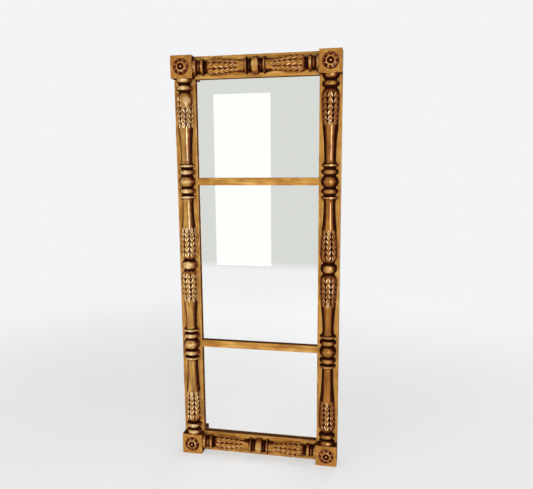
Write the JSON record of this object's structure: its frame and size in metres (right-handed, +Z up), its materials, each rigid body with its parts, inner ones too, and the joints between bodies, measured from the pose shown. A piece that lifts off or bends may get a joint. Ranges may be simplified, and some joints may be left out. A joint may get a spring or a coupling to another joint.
{
  "type": "wall mirror",
  "caption": "Tall divided wall mirror in a gilded frame of half-turned balusters with square rosette corner blocks and swinging hanger rings on its back.",
  "frame": {"origin": "middle of the base of the whole mirror, on the surface that it stands on", "axes": "+X to the right seen from the front, +Y from the front to the wall, +Z up"},
  "size_m": [0.488, 0.0638, 1.22],
  "materials": {
    "gilded_board": "antique bronze gilding, satin, with brown patina",
    "gilded_block": "antique bronze gilding, satin, with brown patina",
    "gilded_turning": "burnished bronze gilding over red-brown patina",
    "gilded_rosette": "bronze gilding with dark red-brown patina in the petals",
    "silvered_glass": "silvered mirror plate",
    "backboard_pine": "bare aged pine",
    "dark_iron": "dull dark iron",
    "hanger_brass": "aged brass"
  },
  "bodies": {
    "frame": {"left_stile": "gilded_board", "right_stile": "gilded_board", "top_rail": "gilded_board", "bottom_rail": "gilded_board", "upper_bar": "gilded_board", "lower_bar": "gilded_board", "corner_block_top_left": "gilded_block", "corner_block_top_right": "gilded_block", "corner_block_bottom_left": "gilded_block", "corner_block_bottom_right": "gilded_block", "rosette_top_left": "gilded_rosette", "rosette_top_right": "gilded_rosette", "rosette_bottom_left": "gilded_rosette", "rosette_bottom_right": "gilded_rosette", "rosette_pins": "gilded_rosette", "left_baluster": "gilded_turning", "right_baluster": "gilded_turning", "top_baluster": "gilded_turning", "bottom_baluster": "gilded_turning", "upper_pane": "silvered_glass", "middle_pane": "silvered_glass", "lower_pane": "silvered_glass", "upper_backboard": "backboard_pine", "middle_backboard": "backboard_pine", "lower_backboard": "backboard_pine", "backboard_brads": "dark_iron", "corner_screws": "dark_iron", "left_hanger_strap": "hanger_brass", "right_hanger_strap": "hanger_brass", "hanger_screws": "hanger_brass"},
    "left_ring": {"left_hanger_ring": "hanger_brass"},
    "right_ring": {"right_hanger_ring": "hanger_brass"}
  },
  "joints": [
    {"name": "left_ring_swing", "type": "hinge", "parent": "frame", "child": "left_ring", "pos_m": [-0.21625, 0.0285, 0.958], "axis": [1, 0, 0], "range_deg": [0, 180]},
    {"name": "right_ring_swing", "type": "hinge", "parent": "frame", "child": "right_ring", "pos_m": [0.21625, 0.0285, 0.958], "axis": [1, 0, 0], "range_deg": [0, 180]}
  ]
}
